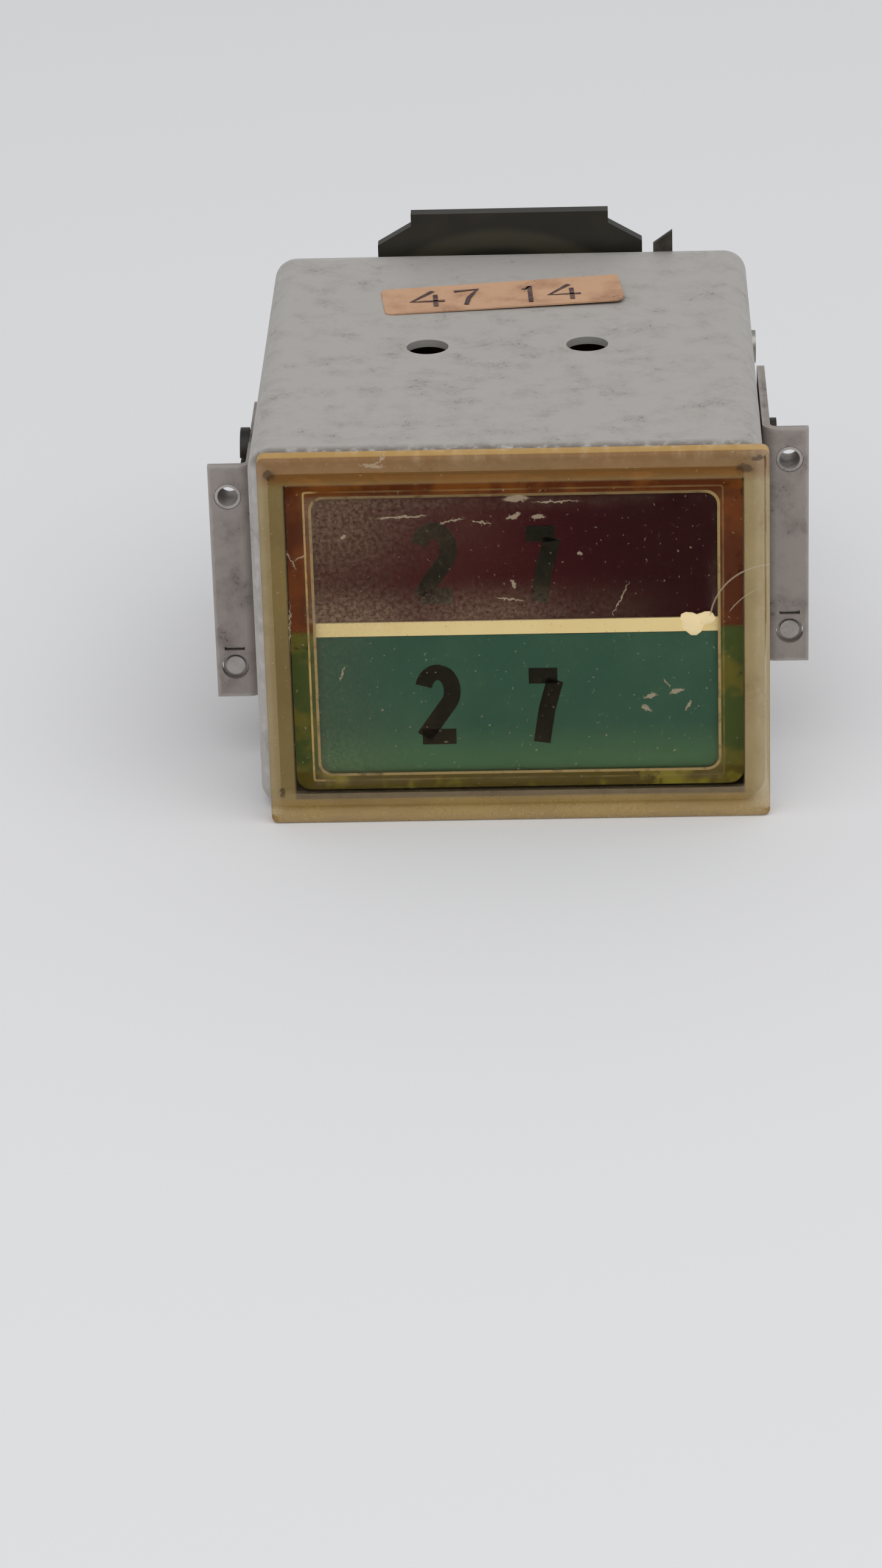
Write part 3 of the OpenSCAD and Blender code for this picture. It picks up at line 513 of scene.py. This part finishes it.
lines = maths(tree, "MAXIMUM",
              arc_line(tree, across, up, (25.6, 1.6), 6.2, 0.14, 2.2, 8.8),
              arc_line(tree, across, up, (27.5, -1.5), 7.5, 0.09, 2.6, 5.4))
cracks = marked(tree, face, [(-22.3, 9.2, 1.3, 0.11, -66, 21.0), (-21.3, 9.5, 1.0, 0.1, 30, 22.0),
                             (-22.7, 2.0, 3.4, 0.1, 88, 23.0)], 0.55)
lint = maths(tree, "MAXIMUM", rise(tree, clouds(tree, place, 0.9, 8.0, 2.0), 0.71, 0.76, 0.5),
             rise(tree, clouds(tree, place, 2.2, 9.0, 2.0), 0.63, 0.71, 0.4))
pale_marks = maths(tree, "MAXIMUM", maths(tree, "MAXIMUM", scuffs, cracks),
                   maths(tree, "MAXIMUM", maths(tree, "MULTIPLY", lines, 0.6), lint))
dark_marks = marked(tree, face, [
    (-24.2, 18.3, 0.8, 0.7, 20, 31.0), (23.0, 18.2, 1.1, 0.6, -15, 32.0),
    (24.2, 19.2, 0.9, 0.4, 10, 33.0), (-24.2, -16.4, 0.4, 0.7, 0, 34.0)], 0.8)
colour = mixed(tree, pale_marks, colour, tone(206, 188, 158))
colour = mixed(tree, dark_marks, colour, tone(56, 38, 20))
fill(tree, shader.inputs["Base Color"], colour)
alpha = maths(tree, "MAXIMUM", alpha, maths(tree, "MAXIMUM", pale_marks, dark_marks))
fill(tree, shader.inputs["Alpha"], alpha)
shader.inputs["Roughness"].default_value = 0.55
shader.inputs["Specular IOR Level"].default_value = 0.3

film = 0.02
film_size, film_corner = (plate[0] + film, plate[1] + film), plate_corner + film
film_rings = ([rounded_ring(middle, (w, w * plate[1] / plate[0]), 0.3, -film)
               for w in (0.5, 8.0, 16.0)]
              + bent_edge(film_size, film_corner, edge, -film, edge, 1)
              + [rounded_ring(middle, film_size, film_corner, plate_back - edge)])
grime_skin = skin("lens_grime", np.array(film_rings), grime, "lens_unit", ends="open")

# ---- colour filters and divider strip ----
# Two sheets of deep coloured plastic lie in the pocket, red above green, parted by a
# cream strip that has yellowed; a crumpled bit of it is caught at the right-hand end.


def coloured_sheet(name, deep, dusty, seed, roughness=0.4):
    """Sheet plastic seen dull through the lens: its deep tone, clouded with a dusty one."""
    made, tree, shader, place = material(name)
    patch = use(tree, stains, Place=place, Size=16.0, Seed=seed)
    fill(tree, shader.inputs["Base Color"],
         mixed(tree, maths(tree, "MULTIPLY", patch["Blotch"], 0.6), deep, dusty))
    shader.inputs["Roughness"].default_value = roughness
    shader.inputs["Specular IOR Level"].default_value = 0.06
    return made


red = coloured_sheet("red_sheet", tone(48, 10, 24), tone(60, 18, 32), 3.0)
_, x, _, _ = where(red.node_tree)
shade_over(red, rise(red.node_tree, x, 16 * mm, -6 * mm, 0.66), tone(80, 30, 42))
dress(["red_filter"], red)
green = coloured_sheet("green_sheet", tone(60, 104, 102), tone(78, 120, 112), 9.0)
_, _, _, z = where(green.node_tree)
lower_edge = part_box("green_filter")[0].z
shade_over(green, rise(green.node_tree, z, lower_edge + 6 * mm, lower_edge + 0.5 * mm, 0.6),
           tone(96, 148, 118))
dress(["green_filter"], green)
cream = coloured_sheet("cream_strip", tone(250, 242, 206), tone(230, 212, 164), 6.0, 0.5)
white = coloured_sheet("white_crumb", tone(255, 252, 238), tone(244, 236, 206), 2.0, 0.5)
# Painted light: the strip and the crumb are given a faint emission, standing in for light carried
# to them through the lens.
for finish, painted_glow in ((cream, 0.14), (white, 0.22)):
    shader = finish.node_tree.nodes["Principled BSDF"]
    shader.inputs["Emission Color"].default_value = tone(244, 228, 188)
    shader.inputs["Emission Strength"].default_value = painted_glow
dress(["divider_strip"], cream)

filter_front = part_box("red_filter")[0].y / mm
turns, rows = np.meshgrid(np.linspace(0, 2 * math.pi, 24, endpoint=False),
                          np.linspace(0.15, math.pi - 0.15, 9))
lump = 1 + 0.22 * np.sin(3 * turns + 0.7) + 0.12 * np.sin(5 * turns + 2 * rows)
crumb_x, crumb_z = 18.9, 20.6
crumb = np.stack([crumb_x + 1.7 * lump * np.sin(rows) * np.cos(turns),
                  filter_front - 0.32 - 0.24 * np.cos(rows),
                  crumb_z + 1.15 * lump * np.sin(rows) * np.sin(turns) + 0.3 * np.cos(turns)],
                 axis=-1)
skin("strip_crumb", crumb, white, "lens_unit", smooth=25)

# ---- legends ----
# Black figures, the same two on each half, printed on the front of the filters. The print
# is worn and chipped, more so in the lower row.


def ribbon(points, width):
    """A flat stroke of that width along a path of points (x, z): its two edges."""
    path = np.array(points, float)
    along = np.gradient(path, axis=0)
    along /= np.linalg.norm(along, axis=1)[:, None]
    aside = np.stack([-along[:, 1], along[:, 0]], axis=1) * width / 2
    return path + aside, path - aside


def figure(strokes, width, size, thickness):
    """Strokes drawn in a unit box and scaled to size: points and faces of thin slabs."""
    points, faces = [], []
    for stroke in strokes:
        left, right = ribbon(np.array(stroke) * size, width)
        n, start = len(left), len(points)
        for level in (0, thickness):
            for side_line in (left, right):
                points += [(p[0], level, p[1]) for p in side_line]
        corners = [[start + n * row + k for row in range(4)] for k in range(n)]
        for a, b, c, d in corners[:-1]:
            faces += [(a, b, b + 1, a + 1), (c, c + 1, d + 1, d), (a, a + 1, c + 1, c),
                      (b, d, d + 1, b + 1)]
        a, b, c, d = corners[0]
        faces.append((a, c, d, b))
        a, b, c, d = corners[-1]
        faces.append((a, b, d, c))
    return np.array(points), faces


bend = np.linspace(math.radians(165), math.radians(-38), 16)
two = [[(0.5 + 0.42 * math.cos(t), 0.72 + 0.25 * math.sin(t)) for t in bend]
       + [(0.08, 0.1)], [(0.02, 0.1), (1.0, 0.1)]]
seven = [[(0.0, 0.9), (1.0, 0.9)], [(0.92, 0.84), (0.62, 0.45), (0.42, 0.0)]]


def print_figures(name, drawn, width, thickness, finish, body, matrix):
    """One piece of several figures, each (strokes, x, z, (wide, high)) in millimetres."""
    points, faces = [], []
    for strokes, x, z, size in drawn:
        some, joined = figure(strokes, width, np.array(size), thickness)
        faces += [tuple(i + len(points) for i in f) for f in joined]
        points += [tuple(p + np.array([x, 0, z])) for p in some]
    mesh = bpy.data.meshes.new(name)
    mesh.from_pydata([tuple(matrix @ (Vector(p) * mm)) for p in points], [], faces)
    mesh.materials.append(finish)
    made = bpy.data.objects.new(name, mesh)
    bpy.context.scene.collection.objects.link(made)
    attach(made, body)
    return made


ink, tree, shader, place = material("worn_print")
_, _, _, up = from_middle(tree, place, (0, divider_z))
patch = use(tree, stains, Place=place, Size=2.5, Seed=3.0)
fill(tree, shader.inputs["Base Color"],
     mixed(tree, patch["Blotch"], tone(14, 18, 15), tone(32, 32, 28)))
chipped = maths(tree, "SUBTRACT", clouds(tree, place, 0.55, 6.0, 4.0),
                rise(tree, up, -1.2, 0.8, 0.1))
fill(tree, shader.inputs["Alpha"], rise(tree, chipped, 0.67, 0.64))
shader.inputs["Roughness"].default_value = 0.6
shader.inputs["Specular IOR Level"].default_value = 0.2
stroke_width, figure_high = 1.7, 8.2
rows_of_figures = [(strokes, x, z, (wide, figure_high)) for z in (22.95, 7.45)
                   for strokes, x, wide in ((two, -9.1, 3.5), (seven, 1.9, 2.9))]
legends = print_figures("legends", rows_of_figures, stroke_width, 0.04, ink, "lens_unit",
                        Matrix.Translation((0, (filter_front - 0.05) * mm, 0)))

# ---- terminal board ----
# A black-olive laminate plate on four spacers, screwed to the rear cover, with a pale arc painted
# on its face as a reflection of the housing's bowed top rear edge. Five turned posts are riveted
# through it, and a dull tinned earth lug is riveted to the cover beside it.
board, tree, shader, place = material("laminate")
patch = use(tree, stains, Place=place, Size=9.0, Seed=2.0)
_, across, _, up = from_middle(tree, place, (-1.2, 22.2))
# Painted reflection: a pale arc across the board's face.
rub = arc_line(tree, across, up, (0, 0), 18.4, 1.6, 0.0, 30.0)
colour = mixed(tree, patch["Blotch"], tone(29, 26, 17), tone(42, 37, 26))
fill(tree, shader.inputs["Base Color"],
     mixed(tree, maths(tree, "MULTIPLY", rub, 0.5), colour, tone(72, 66, 48)))
fill(tree, shader.inputs["Roughness"], maths(tree, "MULTIPLY_ADD", patch["Grain"], 0.2, 0.4))
dress(["terminal_board"], board)
dress(["solder_posts"], plain_metal("tinned_brass", tone(190, 184, 164), tone(150, 138, 110),
                                    0.3, 1.0))
dress(["earth_lug"], plain_metal("dull_tinned_steel", tone(96, 92, 86), tone(64, 60, 56),
                                 0.4, 1.0))

# ---- paper label ----
# Gummed paper stuck askew on the housing's top, browned and grubby, with ragged edges and
# its right-hand end lifting. Figures are written on it by hand in dark ink.
paper, tree, shader, place = material("gummed_paper")
patch = use(tree, stains, Place=place, Size=5.0, Seed=7.0)
colour = mixed(tree, patch["Blotch"], tone(196, 156, 124), tone(168, 126, 98))
fill(tree, shader.inputs["Base Color"],
     mixed(tree, maths(tree, "MULTIPLY", patch["Speck"], 0.7), colour, tone(112, 78, 62)))
shader.inputs["Roughness"].default_value = 0.9
dress(["paper_label"], paper)
low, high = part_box("paper_label")
centre = (low + high) / 2
half_long, half_wide, turned_by = 12.8, 3.95, math.radians(5.8)


def paper_ring(share, lift):
    """A ragged rectangle on the housing's top, its right-hand end curling up."""
    flat = rounded_ring((0, 0), (half_long * share, half_wide * share), 0.9 * share, 0)
    u, v = flat[:, 0], flat[:, 2]
    ragged = 0.06 * share * (np.sin(5.3 * u) + np.sin(3.1 * u + 7 * v))
    v = v + ragged * np.sign(v)
    curl = 0.45 * np.clip((u - 9.0) / 3.8, 0, None) ** 2 + 0.05 * (1 + np.sin(1.1 * u))
    return np.stack([centre.x / mm + u * math.cos(turned_by) - v * math.sin(turned_by),
                     centre.y / mm + u * math.sin(turned_by) + v * math.cos(turned_by),
                     low.z / mm + curl * lift + (0.12 if lift > 0.9 else 0.0)], axis=1)


label_skin = skin("label_skin", np.array([paper_ring(r, 1.0) for r in (0.1, 0.5, 0.8, 0.98, 1.0)]
                                         + [paper_ring(r, 0.8) for r in (1.0, 0.8, 0.1)]),
                  paper, "housing")
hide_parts("paper_label")

pen, tree, shader, place = material("pen_ink")
patch = use(tree, stains, Place=place, Size=2.0, Seed=1.0)
fill(tree, shader.inputs["Base Color"],
     mixed(tree, patch["Blotch"], tone(62, 42, 46), tone(110, 84, 72)))
shader.inputs["Roughness"].default_value = 0.7
four = [[(0.7, 1.0), (0.0, 0.35), (1.0, 0.35)], [(0.75, 0.75), (0.7, 0.0)]]
one = [[(0.3, 0.8), (0.6, 1.0), (0.5, 0.0)]]
loose_seven = [[(0.0, 0.92), (0.9, 1.0), (0.5, 0.45), (0.35, 0.0)]]
written = print_figures(
    "label_figures", [(four, -9.8, -2.4, (3.6, 4.8)), (loose_seven, -5.0, -2.3, (2.8, 4.6)),
                      (one, 1.6, -2.5, (2.6, 4.9)), (four, 5.0, -2.3, (3.4, 4.6))],
    0.5, 0.02, pen, "housing",
    Matrix.Translation((centre.x, centre.y, high.z + 0.13 * mm))
    @ Matrix.Rotation(turned_by, 4, "Z") @ Matrix.Rotation(-math.pi / 2, 4, "X"))

# ---- lamps, sockets and wiring ----
# Four bayonet lamps with clear glass bulbs sit in brass sockets on the lamp plate. Red
# insulated wires and one black wire run to the posts; the baffle between them is white sheet.
seats = ("red_left", "red_right", "green_left", "green_right")
brass = plain_metal("dull_brass", tone(186, 150, 92), tone(140, 106, 62), 0.35, 2.0)
dress(["socket_" + s for s in seats] + ["lamp_base_" + s for s in seats]
      + ["centre_contacts", "cap_spring"], brass)
dress(["filament_" + s for s in seats] + ["contact_springs"],
      plain_metal("wire_metal", tone(150, 148, 142), tone(110, 106, 100), 0.3, 2.0))
glass, _, shader, _ = material("lamp_glass")
shader.inputs["Transmission Weight"].default_value = 1.0
shader.inputs["Roughness"].default_value = 0.02
dress(["lamp_bulb_" + s for s in seats], glass)


def insulation(name, base, dark):
    """Dull wire covering, fibre or white sheet: a base tone clouded with a darker one."""
    made, tree, shader, place = material(name)
    patch = use(tree, stains, Place=place, Size=4.0, Seed=2.0)
    fill(tree, shader.inputs["Base Color"], mixed(tree, patch["Blotch"], base, dark))
    shader.inputs["Roughness"].default_value = 0.55
    return made


dress(["lamp_wires"], insulation("red_insulation", tone(150, 40, 32), tone(110, 34, 28)))
dress(["common_wire"], insulation("black_insulation", tone(46, 44, 42), tone(66, 62, 58)))
dress(["socket_insulators", "bracket_shims"], insulation("fibre", tone(112, 70, 46),
                                                         tone(84, 54, 38)))
dress(["light_baffle"], insulation("white_sheet", tone(226, 224, 214), tone(196, 192, 178)))

# ---- camera, floor and light ----
# A pale matt floor, an even sky and one large softbox above and in front of the part.
floor_mesh = bpy.data.meshes.new("floor")
reach = 3.0
floor_mesh.from_pydata([(-reach, -reach, 0), (reach, -reach, 0), (reach, reach, 0),
                        (-reach, reach, 0)], [], [(0, 1, 2, 3)])
floor = bpy.data.objects.new("floor", floor_mesh)
bpy.context.scene.collection.objects.link(floor)
floor_paint, _, shader, _ = material("floor_paint")
shader.inputs["Base Color"].default_value = tone(231, 231, 233)
shader.inputs["Roughness"].default_value = 0.7
floor_mesh.materials.append(floor_paint)

world = bpy.data.worlds.new("studio")
world.use_nodes = True
sky = world.node_tree.nodes["Background"]
sky.inputs["Color"].default_value = (0.98, 0.99, 1.0, 1.0)
sky.inputs["Strength"].default_value = 0.53
bpy.context.scene.world = world


def softbox(name, at, towards, size, power):
    """A rectangular lamp, in metres and watts, facing a point."""
    lamp = bpy.data.lights.new(name, "AREA")
    lamp.shape, lamp.size, lamp.size_y, lamp.energy = "RECTANGLE", size[0], size[1], power
    made = bpy.data.objects.new(name, lamp)
    made.location = at
    made.rotation_euler = (Vector(towards) - Vector(at)).to_track_quat("-Z", "Y").to_euler()
    bpy.context.scene.collection.objects.link(made)


softbox("overhead", (0.12, -0.35, 1.0), (0, 0.02, 0), (1.4, 1.0), 6.4)

view = bpy.data.cameras.new("view")
view.sensor_width = 36
view.lens = 119.94
view.clip_start, view.clip_end = 0.01, 20
camera = bpy.data.objects.new("view", view)
eye = (9.152 * mm, -481.585 * mm, 228.025 * mm)
pitch, yaw, roll = math.radians(24.915), math.radians(1.948), math.radians(-1.762)
camera.matrix_world = (Matrix.Translation(eye)
                       @ Matrix.Rotation(yaw, 4, "Z")
                       @ Matrix.Rotation(math.pi / 2 - pitch, 4, "X")
                       @ Matrix.Rotation(roll, 4, "Z"))
bpy.context.scene.collection.objects.link(camera)
bpy.context.scene.camera = camera
bpy.context.scene.view_settings.view_transform = "Standard"
